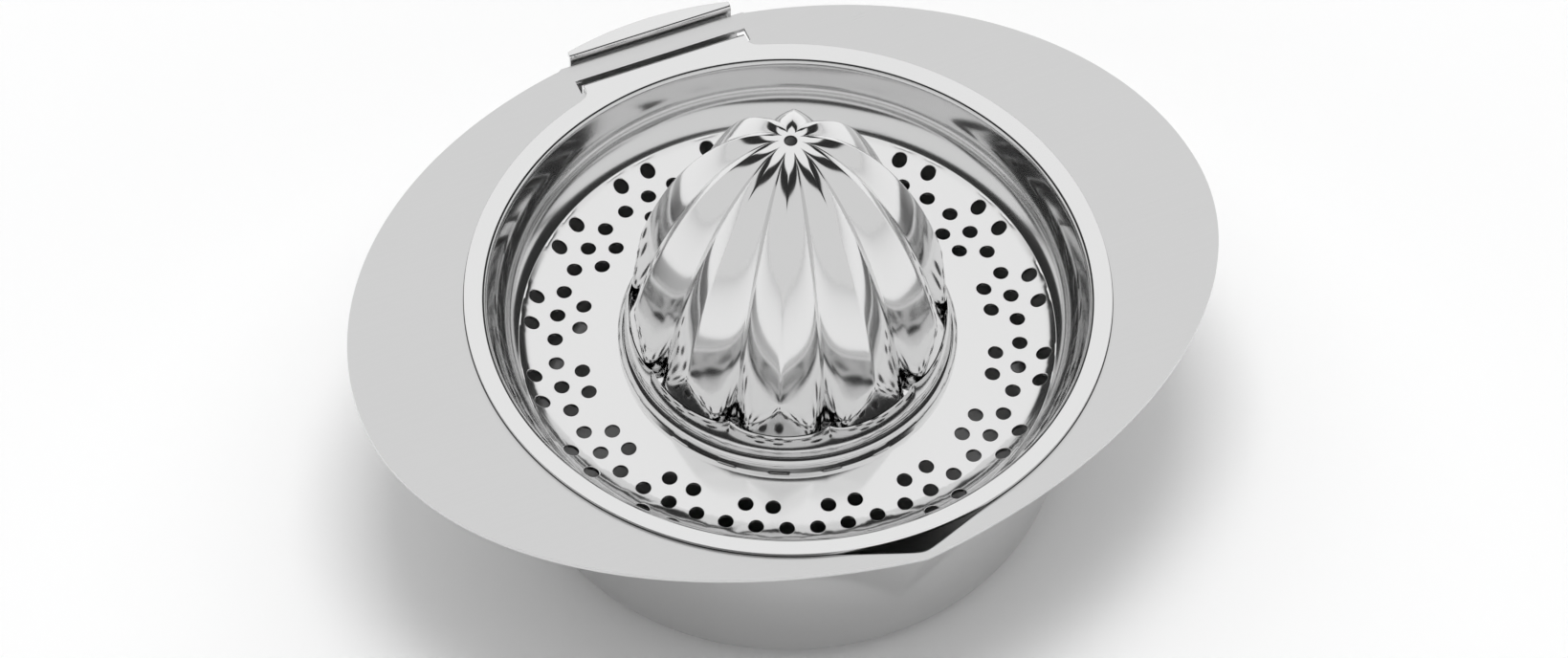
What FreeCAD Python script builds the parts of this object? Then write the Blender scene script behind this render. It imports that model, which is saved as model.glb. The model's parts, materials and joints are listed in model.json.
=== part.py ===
import FreeCAD, Part
import math
import os
import Sketcher
from FreeCAD import Vector

# Hand citrus squeezer in pressed stainless steel: a juice bowl with a wide oval brim, pour spout
# and slot, and a squeezer insert made of a strainer dish and a hollow fluted reamer cone.
# Millimetres. Origin: centre of the bowl's flat base. +X along the brim, +Y to the thumb grip,
# -Y to the pour spout, +Z up.

doc = FreeCAD.newDocument("citrus_squeezer")

# Driving dimensions, each named for what it measures
DIMS = {
    "brim_height": 47.5,
    "bowl_sheet": 0.9,
    "insert_sheet": 0.8,
    "mouth_radius": 60.1,
    "mouth_roll": 1.4,
    "foot_radius": 52.4,
    "knuckle_radius": 6,
    "wing_reach": 27.4,
    "brim_rear_margin": 1.5,
    "brim_front_sweep": 22,
    "spout_throw": 7.5,
    "spout_lip": 0.65,
    "spout_drop": 28,
    "spout_keel_radius": 4,
    "slot_length": 36.4,
    "slot_width": 3.4,
    "strip_width": 4,
    "seat_clearance": 0.48,
    "flange_width": 4.2,
    "basin_depth": 15.6,
    "basin_draft": 12,
    "basin_curve": 13,
    "bend_radius": 1.2,
    "hole_radius": 1.5,
    "cluster_count": 16,
    "pattern_turn": 8,
    "row_margin": 10,
    "row_pitch": 4.7,
    "tongue_clearance": 0.9,
    "tongue_corner": 2.5,
    "leg_reach": 1.3,
    "leg_gap": 1.4,
    "hook_clearance": 2.3,
    "grip_gap": 0.7,
    "grip_rise": 2,
    "grip_side": 0.6,
    "grip_bulge": 2.2,
    "collar_height": 2.4,
    "collar_clearance": 0.15,
    "lobe_count": 10,
    "cone_height": 62.05,
    "ring_radius": 33.2,
    "ring_width": 2.1,
    "skirt_height": 3.5,
    "ledge_height": 6.8,
    "ledge_step": 0.3,
    "lobe_sink": 2,
    "ridge_trim": 1.9,
    "trim_taper": 1,
    "flute_depth": 4.7,
    "ridge_power": 1.55,
    "ridge_fullness": 0.57,
    "valley_power": 1.7,
    "valley_fullness": 0.66,
    "shoulder_angle": 13,
    "shoulder_fall": 0.46,
    "tip_radius": 1.7,
    "tip_hole_radius": 1.3,
}

# Places worked out from the driving dimensions, as sheet formulas
PLACES = {
    "brim_under": "dims.brim_height - dims.bowl_sheet",
    "foot_outer": "dims.foot_radius + dims.bowl_sheet",
    "mouth_outer": "dims.mouth_radius + dims.bowl_sheet",
    "roll_edge": "dims.mouth_radius + dims.mouth_roll + dims.bowl_sheet / 2",
    "cavity_top": "dims.brim_height + 2 * dims.mouth_roll",
    "knuckle_outer": "dims.knuckle_radius + dims.bowl_sheet",
    "roll_under": "dims.mouth_roll - dims.bowl_sheet",
    "brim_half_length": "dims.mouth_radius + dims.wing_reach",
    "spout_reach": "dims.mouth_radius + dims.spout_throw",
    "nose": "spout_reach + dims.spout_lip",
    "flange_top": "dims.brim_height + dims.insert_sheet",
    "wall_top_outer": "dims.mouth_radius - dims.seat_clearance",
    "wall_top": "wall_top_outer - dims.insert_sheet / cos(dims.basin_draft)",
    "flange_radius": "wall_top + dims.flange_width",
    "floor_top": "flange_top - dims.basin_depth",
    "floor_under": "floor_top - dims.insert_sheet",
    "wall_foot": "wall_top - dims.basin_depth * tan(dims.basin_draft)",
    "wall_foot_outer": "wall_top_outer - dims.basin_depth * tan(dims.basin_draft)",
    "basin_curve_outer": "dims.basin_curve + dims.insert_sheet",
    "middle_row": "wall_foot - dims.row_margin",
    "inner_row": "middle_row - dims.row_pitch",
    "outer_row": "middle_row + dims.row_pitch",
    "ring_inner": "dims.ring_radius - dims.insert_sheet",
    "collar_outer": "ring_inner - dims.collar_clearance",
    "collar_inner": "collar_outer - dims.insert_sheet",
    "collar_top": "floor_top + dims.collar_height",
    "tongue_half": "dims.slot_length / 2 - dims.tongue_clearance",
    "tongue_root": "wall_top + dims.bend_radius",
    "tongue_base": "wall_top - 2 * dims.flange_width",
    "leg_outer": "flange_radius + dims.leg_reach",
    "leg_inner": "leg_outer - dims.insert_sheet",
    "slot_outer_edge": "leg_outer + dims.leg_gap",
    "slot_inner_edge": "slot_outer_edge - dims.slot_width",
    "rear_edge": "slot_outer_edge + dims.strip_width",
    "hook_floor": "brim_under - dims.hook_clearance",
    "hook_under": "hook_floor - dims.insert_sheet",
    "grip_inner": "rear_edge + dims.grip_gap",
    "grip_outer": "grip_inner + dims.insert_sheet",
    "grip_side_edge": "grip_outer + dims.grip_side",
    "grip_top": "dims.brim_height + dims.grip_rise",
    "grip_under": "grip_top - dims.insert_sheet",
    "bend_inner": "dims.bend_radius - dims.insert_sheet",
    "trim_radius": "dims.ring_radius - dims.ring_width",
    "ridge_radius": "trim_radius + dims.ridge_trim",
    "valley_radius": "ridge_radius - dims.flute_depth",
    "ring_top": "floor_top + dims.skirt_height",
    "ring_under": "ring_top - dims.insert_sheet / 2",
    "ledge_top": "floor_top + dims.ledge_height",
    "ledge_under": "ledge_top - dims.insert_sheet",
    "ledge_edge": "trim_radius + dims.ledge_step",
    "ledge_edge_inner": "ledge_edge - dims.insert_sheet",
    "lobe_base": "ledge_top - dims.lobe_sink",
    "tip_height": "floor_top + dims.cone_height",
}


def make_sheet(name, cells):
    """A spreadsheet with one row for each named cell: its name in A, its content in B."""
    sheet = doc.addObject("Spreadsheet::Sheet", name)
    for row, (alias, content) in enumerate(cells.items(), start=1):
        sheet.set("A%d" % row, alias)
        sheet.set("B%d" % row, content)
        sheet.setAlias("B%d" % row, alias)
    doc.recompute()
    return sheet


dims = make_sheet("dims", {name: str(value) for name, value in DIMS.items()})
places = make_sheet("places", {name: "=" + formula for name, formula in PLACES.items()})


def size(name):
    """The value of a driving dimension or of a worked out place, as a plain number."""
    sheet = dims if name in DIMS else places
    value = sheet.get(name)
    return float(value.Value) if hasattr(value, "Value") else float(value)


def cell(name):
    """The expression that reads a named cell."""
    return ("dims." if name in DIMS else "places.") + name


def origin_plane(body, role):
    return next(f for f in body.Origin.OriginFeatures if f.Role == role)


def new_body(label):
    body = doc.addObject("PartDesign::Body", label)
    body.Label = label
    return body


def new_sketch(body, name, role, height=None):
    """A sketch on one of the body's own planes, raised to a named height where one is given."""
    sketch = body.newObject("Sketcher::SketchObject", name)
    sketch.AttachmentSupport = (origin_plane(body, role), [""])
    sketch.MapMode = "FlatFace"
    if height:
        sketch.setExpression(".AttachmentOffset.Base.z", cell(height))
    return sketch


def pin_point(sketch, geometry, end, across, up):
    """Hold a point at two named distances from the origin; None is a distance of zero."""
    for kind, name in (("DistanceX", across), ("DistanceY", up)):
        if name is None:
            axis = -2 if kind == "DistanceX" else -1
            sketch.addConstraint(Sketcher.Constraint("PointOnObject", geometry, end, axis))
            continue
        sign = -1.0 if name.startswith("-") else 1.0
        name = name.lstrip("-")
        value = size(name)
        ends = (-1, 1, geometry, end) if sign > 0 else (geometry, end, -1, 1)
        index = sketch.addConstraint(Sketcher.Constraint(kind, *ends, value))
        sketch.setExpression("Constraints[%d]" % index, cell(name))


def signed(name):
    if name is None:
        return 0.0
    return -size(name[1:]) if name.startswith("-") else size(name)


def polygon(sketch, corners):
    """A closed outline of straight lines through corners held by named distances."""
    points = [Vector(signed(across), signed(up), 0) for across, up in corners]
    lines = [
        sketch.addGeometry(Part.LineSegment(a, b), False)
        for a, b in zip(points, points[1:] + points[:1])
    ]
    for line, following in zip(lines, lines[1:] + lines[:1]):
        sketch.addConstraint(Sketcher.Constraint("Coincident", line, 2, following, 1))
    for line, (across, up) in zip(lines, corners):
        pin_point(sketch, line, 1, across, up)


def revolve(body, name, corners):
    """A solid of revolution about Z from an outline in the XZ plane."""
    sketch = new_sketch(body, name + "_outline", "XZ_Plane")
    polygon(sketch, corners)
    feature = body.newObject("PartDesign::Revolution", name)
    feature.Profile = sketch
    feature.ReferenceAxis = (sketch, ["V_Axis"])
    feature.Angle = 360
    doc.recompute()
    return feature


def edges_where(shape, test):
    return ["Edge%d" % (i + 1) for i, edge in enumerate(shape.Edges) if test(edge)]


def round_edges(body, name, base, test, radius):
    """Round the edges of a feature that pass a test, with a named radius."""
    names = edges_where(base.Shape, test)
    if not names:
        raise RuntimeError("no edge to round for " + name)
    feature = body.newObject("PartDesign::Fillet", name)
    feature.Base = (base, names)
    feature.Radius = size(radius)
    feature.setExpression("Radius", cell(radius))
    body.Tip = feature
    doc.recompute()
    return feature


def ring_edge(radius, height):
    """A test for the full circle about Z at a radius and a height."""
    def test(edge):
        curve = edge.Curve
        return (
            hasattr(curve, "Radius")
            and abs(curve.Radius - radius) < 0.01
            and abs(curve.Center.z - height) < 0.01
            and math.hypot(curve.Center.x, curve.Center.y) < 0.01
        )
    return test


def cross_edge(y, z):
    """A test for a straight edge along X at a place in the YZ plane."""
    def test(edge):
        box = edge.BoundBox
        return (
            box.YLength < 0.01
            and box.ZLength < 0.01
            and abs(box.YMin - y) < 0.01
            and abs(box.ZMin - z) < 0.01
        )
    return test


def any_of(*tests):
    return lambda edge: any(test(edge) for test in tests)


def bound(kind, name, **formulas):
    """A Part object whose properties follow formulas on the sheets."""
    part = doc.addObject(kind, name)
    for prop, formula in formulas.items():
        part.setExpression(prop.replace("_", "."), formula)
    return part


def combine(kind, name, *shapes):
    """A boolean of Part: Cut and Common take two shapes, MultiFuse any number."""
    part = doc.addObject(kind, name)
    if kind == "Part::MultiFuse":
        part.Shapes = list(shapes)
    else:
        part.Base, part.Tool = shapes
    return part


# Juice bowl: body and cavity

def bowl_outside():
    """The bowl's outer form as a full solid, up to the top of the brim."""
    body = new_body("bowl_outside")
    turned = revolve(body, "outside", [
        (None, None),
        ("foot_outer", None),
        ("mouth_outer", "brim_under"),
        ("roll_edge", "brim_under"),
        ("roll_edge", "brim_height"),
        (None, "brim_height"),
    ])
    knuckle = round_edges(
        body, "knuckle", turned, ring_edge(size("foot_outer"), 0), "knuckle_outer")
    round_edges(body, "roll", knuckle,
                ring_edge(size("mouth_outer"), size("brim_under")), "roll_under")
    return body


def bowl_cavity():
    """What the bowl holds, opened at the mouth along a rolled lip."""
    body = new_body("bowl_cavity")
    turned = revolve(body, "cavity", [
        (None, "bowl_sheet"),
        ("foot_radius", "bowl_sheet"),
        ("mouth_radius", "brim_height"),
        ("roll_edge", "brim_height"),
        ("roll_edge", "cavity_top"),
        (None, "cavity_top"),
    ])
    knuckle = round_edges(
        body, "cavity_knuckle", turned,
        ring_edge(size("foot_radius"), size("bowl_sheet")), "knuckle_radius")
    round_edges(body, "lip", knuckle,
                ring_edge(size("mouth_radius"), size("brim_height")), "mouth_roll")
    return body


# Juice bowl: brim

def ellipse_plate(name, half_length, half_depth, offset):
    """A plate of the brim's thickness with an elliptical outline."""
    outline = bound(
        "Part::Ellipse", name + "_outline",
        MajorRadius=half_length, MinorRadius=half_depth, Placement_Base_x=offset,
        Placement_Base_z="places.brim_under")
    plate = bound("Part::Extrusion", name, LengthFwd="dims.bowl_sheet")
    plate.Base = outline
    plate.DirMode = "Custom"
    plate.Dir = Vector(0, 0, 1)
    plate.Solid = True
    return plate


def brim_half(name, low_y, depth):
    """A box over the front or the rear half of the brim."""
    return bound(
        "Part::Box", name,
        Length="3 * places.brim_half_length", Width=depth, Height="dims.bowl_sheet",
        Placement_Base_x="-1.5 * places.brim_half_length", Placement_Base_y=low_y,
        Placement_Base_z="places.brim_under")


def brim_plate():
    """The oval brim: half an ellipse at the rear, cut straight behind the slot, and at the front
    two elliptical arcs that meet in a nose at the spout."""
    rear = combine(
        "Part::Common", "brim_rear",
        ellipse_plate("rear_oval", "places.brim_half_length",
                      "places.rear_edge + dims.brim_rear_margin", "0"),
        brim_half("rear_side", "0", "places.rear_edge"))
    sweep = "dims.brim_front_sweep"
    reach = "places.brim_half_length + %s" % sweep
    depth = "places.nose / sqrt(1 - pow(%s / (%s); 2))" % (sweep, reach)
    sides = combine(
        "Part::Common", "front_pair",
        ellipse_plate("front_right_oval", reach, depth, "-" + sweep),
        ellipse_plate("front_left_oval", reach, depth, sweep))
    front = combine(
        "Part::Common", "brim_front", sides,
        brim_half("front_side", "-2 * places.nose", "2 * places.nose"))
    return combine("Part::MultiFuse", "brim_plate", rear, front)


# Juice bowl: pour spout

# How far the spout's cutting form stands proud of the brim that it cuts
OVERCUT = 0.01


def spout_outline(front, spread, radius, run_in, height):
    """A closed outline of the spout at a height. Its two front sides meet at the front and end at
    a spread angle each side, on a radius, from where they run in to the bowl's mouth."""
    right = [(spread, radius), (2 * spread, run_in)]
    left = [(-angle, reach) for angle, reach in reversed(right)]
    points = [Vector(0, -front, height)]
    points += [
        Vector(reach * math.sin(angle), -reach * math.cos(angle), height)
        for angle, reach in right + [(0, radius / 2)] + left]
    return Part.makePolygon(points + points[:1])


def spout_wedge(name, reach, mouth, wall, foot, top, keel):
    """The keel of the spout: its sides leave the mouth as tangents and meet in front, and it runs
    out on the wall below. Its front edge is rounded."""
    spread = math.acos(mouth / reach)
    low = size("brim_height") - size("spout_drop")
    solid = Part.makeLoft([
        spout_outline(reach, spread, mouth, wall, top),
        spout_outline(foot, spread / 2, foot, foot, low)], True, True)
    front = [
        edge for edge in solid.Edges
        if all(abs(v.X) < 0.001 and v.Y < -0.9 * foot for v in edge.Vertexes)]
    wedge = doc.addObject("Part::Feature", name)
    wedge.Shape = solid.makeFillet(keel, front)
    return wedge


def wall_radius_at(height):
    """The inner radius of the bowl's straight wall at a height."""
    share = (height - size("bowl_sheet")) / (size("brim_height") - size("bowl_sheet"))
    return size("foot_radius") + share * (size("mouth_radius") - size("foot_radius"))


def spout_pair():
    """The outer and the inner wedge of the spout, one sheet apart."""
    sheet = size("bowl_sheet")
    top = size("brim_height")
    foot = wall_radius_at(top - size("spout_drop"))
    reach = size("spout_reach")
    mouth = size("flange_radius")
    wall = size("mouth_radius") + sheet / 2
    keel = size("spout_keel_radius")
    inner = spout_wedge("spout_cavity", reach, mouth, wall, foot, top + OVERCUT, keel)
    outer = spout_wedge("spout_outside", reach + sheet, mouth + sheet, wall + sheet,
                        foot + sheet, top, keel + sheet)
    return outer, inner


def juice_bowl():
    """Bowl, brim and spout in one sheet, hollowed, with the slot punched at the rear."""
    spout_outer, spout_inner = spout_pair()
    slot = bound(
        "Part::Box", "slot",
        Length="dims.slot_length", Width="dims.slot_width", Height="3 * dims.bowl_sheet",
        Placement_Base_x="-dims.slot_length / 2", Placement_Base_y="places.slot_inner_edge",
        Placement_Base_z="places.brim_under - dims.bowl_sheet")
    outside = combine(
        "Part::MultiFuse", "bowl_blank", bowl_outside(), brim_plate(), spout_outer)
    hollowed = combine("Part::Cut", "bowl_hollowed", outside, bowl_cavity())
    opened = combine("Part::Cut", "bowl_with_spout", hollowed, spout_inner)
    bowl = combine("Part::Cut", "juice_bowl", opened, slot)
    doc.recompute()
    return bowl


# Strainer dish

def tongue_hook(body):
    """The tongue's section: out over the brim, down through the slot, under the strip and up
    behind it. It is padded to the tongue's width."""
    sketch = new_sketch(body, "hook_outline", "YZ_Plane")
    polygon(sketch, [
        ("tongue_base", "brim_height"),
        ("leg_inner", "brim_height"),
        ("leg_inner", "hook_under"),
        ("grip_outer", "hook_under"),
        ("grip_outer", "grip_top"),
        ("grip_inner", "grip_top"),
        ("grip_inner", "hook_floor"),
        ("leg_outer", "hook_floor"),
        ("leg_outer", "flange_top"),
        ("tongue_base", "flange_top"),
    ])
    pad = body.newObject("PartDesign::Pad", "hook")
    pad.Profile = sketch
    pad.Midplane = True
    pad.setExpression("Length", "2 * places.tongue_half")
    doc.recompute()
    return pad


def clear_basin(body):
    """Open the tongue's root over the basin, before the flange closes round it."""
    sketch = new_sketch(body, "root_circle", "XY_Plane", "floor_top")
    circle = sketch.addGeometry(Part.Circle(Vector(0, 0, 0), Vector(0, 0, 1), size("tongue_root")))
    sketch.addConstraint(Sketcher.Constraint("Coincident", circle, 3, -1, 1))
    index = sketch.addConstraint(Sketcher.Constraint("Radius", circle, size("tongue_root")))
    sketch.setExpression("Constraints[%d]" % index, cell("tongue_root"))
    pocket = body.newObject("PartDesign::Pocket", "root_opening")
    pocket.Profile = sketch
    pocket.Reversed = True
    pocket.setExpression("Length", "2 * dims.basin_depth")
    doc.recompute()
    return pocket


def thumb_plate(body):
    """The thumb grip's plate, with a curved outer edge."""
    half = size("tongue_half")
    far = size("grip_side_edge") + size("grip_bulge")
    sketch = new_sketch(body, "grip_outline", "XY_Plane", "grip_under")
    corners = [("-tongue_half", "grip_inner"), ("tongue_half", "grip_inner"),
               ("tongue_half", "grip_side_edge"), ("-tongue_half", "grip_side_edge")]
    points = [Vector(signed(across), signed(up), 0) for across, up in corners]
    back = sketch.addGeometry(Part.LineSegment(points[0], points[1]))
    right = sketch.addGeometry(Part.LineSegment(points[1], points[2]))
    arc = sketch.addGeometry(Part.Arc(points[2], Vector(0, far, 0), points[3]))
    left = sketch.addGeometry(Part.LineSegment(points[3], points[0]))
    for first, end, second, start in ((back, 2, right, 1), (right, 2, arc, 1),
                                      (arc, 2, left, 1), (left, 2, back, 1)):
        sketch.addConstraint(Sketcher.Constraint("Coincident", first, end, second, start))
    for line, (across, up) in zip((back, right), corners):
        pin_point(sketch, line, 1, across, up)
    pin_point(sketch, right, 2, *corners[2])
    pin_point(sketch, left, 1, *corners[3])
    bulge = size("grip_bulge")
    index = sketch.addConstraint(
        Sketcher.Constraint("Radius", arc, (half ** 2 + bulge ** 2) / (2 * bulge)))
    sketch.setExpression(
        "Constraints[%d]" % index,
        "(pow(places.tongue_half; 2) + pow(dims.grip_bulge; 2)) / (2 * dims.grip_bulge)")
    pad = body.newObject("PartDesign::Pad", "thumb_plate")
    pad.Profile = sketch
    pad.setExpression("Length", "dims.insert_sheet")
    doc.recompute()
    return pad


def dish_wall(body):
    """Flange, sloping basin wall, floor and the low collar that the cone stands round."""
    return revolve(body, "dish", [
        ("flange_radius", "brim_height"),
        ("flange_radius", "flange_top"),
        ("wall_top", "flange_top"),
        ("wall_foot", "floor_top"),
        ("collar_outer", "floor_top"),
        ("collar_outer", "collar_top"),
        ("collar_inner", "collar_top"),
        ("collar_inner", "floor_under"),
        ("wall_foot_outer", "floor_under"),
        ("wall_top_outer", "brim_height"),
    ])


def bend_tongue(body, base):
    """Round the tongue's bends, outside and inside."""
    outer = round_edges(body, "bends_outer", base, any_of(
        cross_edge(size("leg_outer"), size("flange_top")),
        cross_edge(size("leg_inner"), size("hook_under")),
        cross_edge(size("grip_outer"), size("hook_under"))), "bend_radius")
    return round_edges(body, "bends_inner", outer, any_of(
        cross_edge(size("leg_inner"), size("brim_height")),
        cross_edge(size("leg_outer"), size("hook_floor")),
        cross_edge(size("grip_inner"), size("hook_floor"))), "bend_inner")


def bend_grip(body, base):
    """Round the bend between the hook and the thumb plate."""
    outer = round_edges(body, "grip_bend_outer", base, cross_edge(
        size("grip_inner"), size("grip_top")), "bend_radius")
    return round_edges(body, "grip_bend_inner", outer, cross_edge(
        size("grip_outer"), size("grip_under")), "bend_inner")


def shape_basin(body, base):
    """Round the rim into the wall and the wall into the floor, on both faces."""
    steps = (
        ("rim_bend", "wall_top", "flange_top", "bend_radius"),
        ("rim_bend_under", "wall_top_outer", "brim_height", "bend_inner"),
        ("floor_curve", "wall_foot", "floor_top", "basin_curve"),
        ("floor_curve_under", "wall_foot_outer", "floor_under", "basin_curve_outer"),
    )
    for name, radius, height, rounding in steps:
        base = round_edges(body, name, base, ring_edge(size(radius), size(height)), rounding)
    return base


def tongue_shoulders(body, base):
    """Blend the tongue's sides into the round flange."""
    side = size("tongue_half")
    meet = math.sqrt(size("flange_radius") ** 2 - side ** 2)

    def test(edge):
        box = edge.BoundBox
        return (
            box.XLength < 0.01
            and box.YLength < 0.01
            and abs(abs(box.XMin) - side) < 0.01
            and abs(box.YMin - meet) < 0.05
            and box.ZMin > size("brim_under")
        )
    return round_edges(body, "shoulders", base, test, "tongue_corner")


# Holes that each cluster has on the middle row, where the spacing is even right round the dish
ROW_HOLES = 3


def cluster_places():
    """One cluster of seven holes, in steps along the rows: three on the middle row, a pair each
    side of it."""
    return (
        [("middle_row", step) for step in (-1, 0, 1)]
        + [(row, side / 2) for row in ("inner_row", "outer_row") for side in (-1, 1)])


def drain_holes(body):
    """Seven drain holes in a sketch, pocketed through the floor and repeated round the dish."""
    sketch = new_sketch(body, "hole_cluster", "XY_Plane", "flange_top")
    for row, step in cluster_places():
        turn = "(%r * 360 / (%d * dims.cluster_count) - dims.pattern_turn)" % (step, ROW_HOLES)
        degrees = step * 360 / (ROW_HOLES * size("cluster_count"))
        angle = math.radians(degrees - size("pattern_turn"))
        radius = size(row)
        centre = Vector(radius * math.cos(angle), radius * math.sin(angle), 0)
        hole = sketch.addGeometry(Part.Circle(centre, Vector(0, 0, 1), size("hole_radius")))
        index = sketch.addConstraint(Sketcher.Constraint("Radius", hole, size("hole_radius")))
        sketch.setExpression("Constraints[%d]" % index, cell("hole_radius"))
        for kind, value, wave in (("DistanceX", centre.x, "cos"), ("DistanceY", centre.y, "sin")):
            index = sketch.addConstraint(Sketcher.Constraint(kind, -1, 1, hole, 3, value))
            sketch.setExpression(
                "Constraints[%d]" % index, "%s * %s(%s)" % (cell(row), wave, turn))
    pocket = body.newObject("PartDesign::Pocket", "holes")
    pocket.Profile = sketch
    pocket.setExpression("Length", "dims.basin_depth + 2 * dims.insert_sheet")
    doc.recompute()
    pattern = body.newObject("PartDesign::PolarPattern", "hole_ring")
    pattern.Originals = [pocket]
    pattern.Axis = (sketch, ["N_Axis"])
    pattern.Angle = 360
    pattern.setExpression("Occurrences", "dims.cluster_count")
    body.Tip = pattern
    doc.recompute()
    return pattern


def strainer_dish():
    """Dish, tongue, hook and thumb grip in one sheet, with its drain holes."""
    body = new_body("strainer_dish")
    bend_tongue(body, tongue_hook(body))
    clear_basin(body)
    bend_grip(body, thumb_plate(body))
    shaped = shape_basin(body, dish_wall(body))
    tongue_shoulders(body, shaped)
    drain_holes(body)
    return body


# Reamer cone

# Outlines that the lobes are lofted through, and how they crowd towards the tip
LEVELS = 9
CROWDING = 1.7

# At the tip the valleys lie this share as far out as the ridges
TIP_VALLEY = 0.98

# A lobe's shoulders lie within this share of the lobe on each side of its ridge
SHOULDER_LIMIT = 0.45


def profile(share, base, tip, power, fullness):
    """Radius of a ridge or a valley at a share of the lobes' height: steep below, domed above."""
    return tip + (base - tip) * (1 - share ** power) ** fullness


def star(ridge, valley, height):
    """A closed outline with a ridge, two shoulders and a valley for each lobe."""
    count = int(size("lobe_count"))
    pitch = 360 / count
    shoulder = ridge - size("shoulder_fall") * (ridge - valley)
    reach = min(size("shoulder_angle"), SHOULDER_LIMIT * pitch)
    points = []
    for lobe in range(count):
        middle = lobe * pitch - size("pattern_turn")
        for turn, radius in ((0, ridge), (reach, shoulder), (pitch / 2, valley),
                             (pitch - reach, shoulder)):
            angle = math.radians(middle + turn)
            points.append(Vector(radius * math.cos(angle), radius * math.sin(angle), height))
    return Part.makePolygon(points + points[:1])


def fluted(name, inset):
    """The lobes as a solid, lofted through star outlines that lie closer together near the tip."""
    low = size("lobe_base")
    rise = size("tip_height") - inset - low
    tip = size("tip_radius") - inset / 2
    wires = []
    for level in range(LEVELS):
        share = 1 - (1 - level / (LEVELS - 1)) ** CROWDING
        ridge = profile(share, size("ridge_radius") - inset, tip,
                        size("ridge_power"), size("ridge_fullness"))
        valley = profile(share, size("valley_radius") - inset, TIP_VALLEY * tip,
                         size("valley_power"), size("valley_fullness"))
        wires.append(star(ridge, valley, low + share * rise))
    solid = doc.addObject("Part::Feature", name)
    solid.Shape = Part.makeLoft(wires, True, True)
    return solid


def trimmed_lobes(name, inset, inset_formula):
    """The lobes turned down to a steep cone near the foot, which leaves a flat on each ridge."""
    trim = bound(
        "Part::Cone", name + "_trim",
        Radius1="places.trim_radius - " + inset_formula,
        Radius2="places.trim_radius - %s - dims.cone_height * tan(dims.trim_taper)" % inset_formula,
        Height="dims.cone_height", Placement_Base_z="places.lobe_base")
    return combine("Part::Common", name, fluted(name + "_loft", inset), trim)


def cone_foot(name, corners):
    """The turned foot of the cone as a full solid."""
    body = new_body(name)
    revolve(body, name + "_turned", corners)
    return body


def reamer_cone():
    """Lobes and foot in one sheet, hollow and open below, with a hole in the tip."""
    foot_outside = cone_foot("foot_outside", [
        (None, "floor_top"),
        ("ring_radius", "floor_top"),
        ("ring_radius", "ring_top"),
        ("ledge_edge", "ledge_top"),
        (None, "ledge_top"),
    ])
    foot_inside = cone_foot("foot_inside", [
        (None, "floor_under"),
        ("ring_inner", "floor_under"),
        ("ring_inner", "ring_under"),
        ("ledge_edge_inner", "ledge_under"),
        (None, "ledge_under"),
    ])
    outside = combine("Part::MultiFuse", "cone_blank", foot_outside,
                      trimmed_lobes("lobes_outside", 0, "0"))
    tip_hole = bound(
        "Part::Cylinder", "tip_hole",
        Radius="dims.tip_hole_radius", Height="4 * dims.insert_sheet",
        Placement_Base_z="places.tip_height - 3 * dims.insert_sheet")
    inside = combine(
        "Part::MultiFuse", "cone_hollow", foot_inside,
        trimmed_lobes("lobes_inside", size("insert_sheet"), "dims.insert_sheet"), tip_hole)
    cone = combine("Part::Cut", "reamer_cone", outside, inside)
    doc.recompute()
    return cone


# Build, check and export

def check_document():
    """Stop if an object of the document is in error."""
    faults = [
        "%s %s" % (item.Name, item.State) for item in doc.Objects
        if "Invalid" in item.State or "Error" in item.State]
    if faults:
        raise RuntimeError("objects in error: " + ", ".join(faults))


def export(piece):
    """Check one piece and write it to its STEP file."""
    shape = piece.Shape
    if shape.isNull() or not shape.isValid() or len(shape.Solids) != 1:
        raise RuntimeError("%s is not one valid solid" % piece.Label)
    box = shape.BoundBox
    print("%s volume %.1f box %.2f %.2f %.2f to %.2f %.2f %.2f" % (
        piece.Label, shape.Volume, box.XMin, box.YMin, box.ZMin, box.XMax, box.YMax, box.ZMax))
    shape.exportStep("parts/%s.step" % piece.Label)


pieces = [juice_bowl(), strainer_dish(), reamer_cone()]
doc.recompute()
check_document()
os.makedirs("parts", exist_ok=True)
for piece in pieces:
    export(piece)
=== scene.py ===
"""Dressed model of a hand citrus squeezer: a satin steel juice bowl with an oval brim and a
polished insert, made of a strainer dish and a fluted reamer cone.

Everything is in metres. Heights of the insert are counted from the top of the brim.
"""

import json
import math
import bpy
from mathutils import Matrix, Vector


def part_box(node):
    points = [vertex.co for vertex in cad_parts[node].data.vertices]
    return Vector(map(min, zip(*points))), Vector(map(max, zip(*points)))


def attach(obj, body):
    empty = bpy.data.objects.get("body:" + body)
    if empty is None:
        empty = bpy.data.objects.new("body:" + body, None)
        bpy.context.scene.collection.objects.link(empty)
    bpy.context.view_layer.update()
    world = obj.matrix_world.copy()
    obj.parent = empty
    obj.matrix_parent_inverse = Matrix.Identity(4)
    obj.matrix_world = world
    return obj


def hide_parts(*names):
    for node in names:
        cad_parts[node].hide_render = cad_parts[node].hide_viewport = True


bl_info = {
    "name": "Citrus Squeezer",
    "version": (1, 0, 0),
    "blender": (4, 5, 0),
    "location": "3D View > Sidebar > Squeezer",
    "description": "Builds the bowl, the strainer dish, the reamer cone and their studio",
    "category": "Object",
}

import bpy
import numpy as np
from bpy.props import FloatProperty, FloatVectorProperty, IntProperty, PointerProperty
from mathutils import Matrix, Vector

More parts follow.
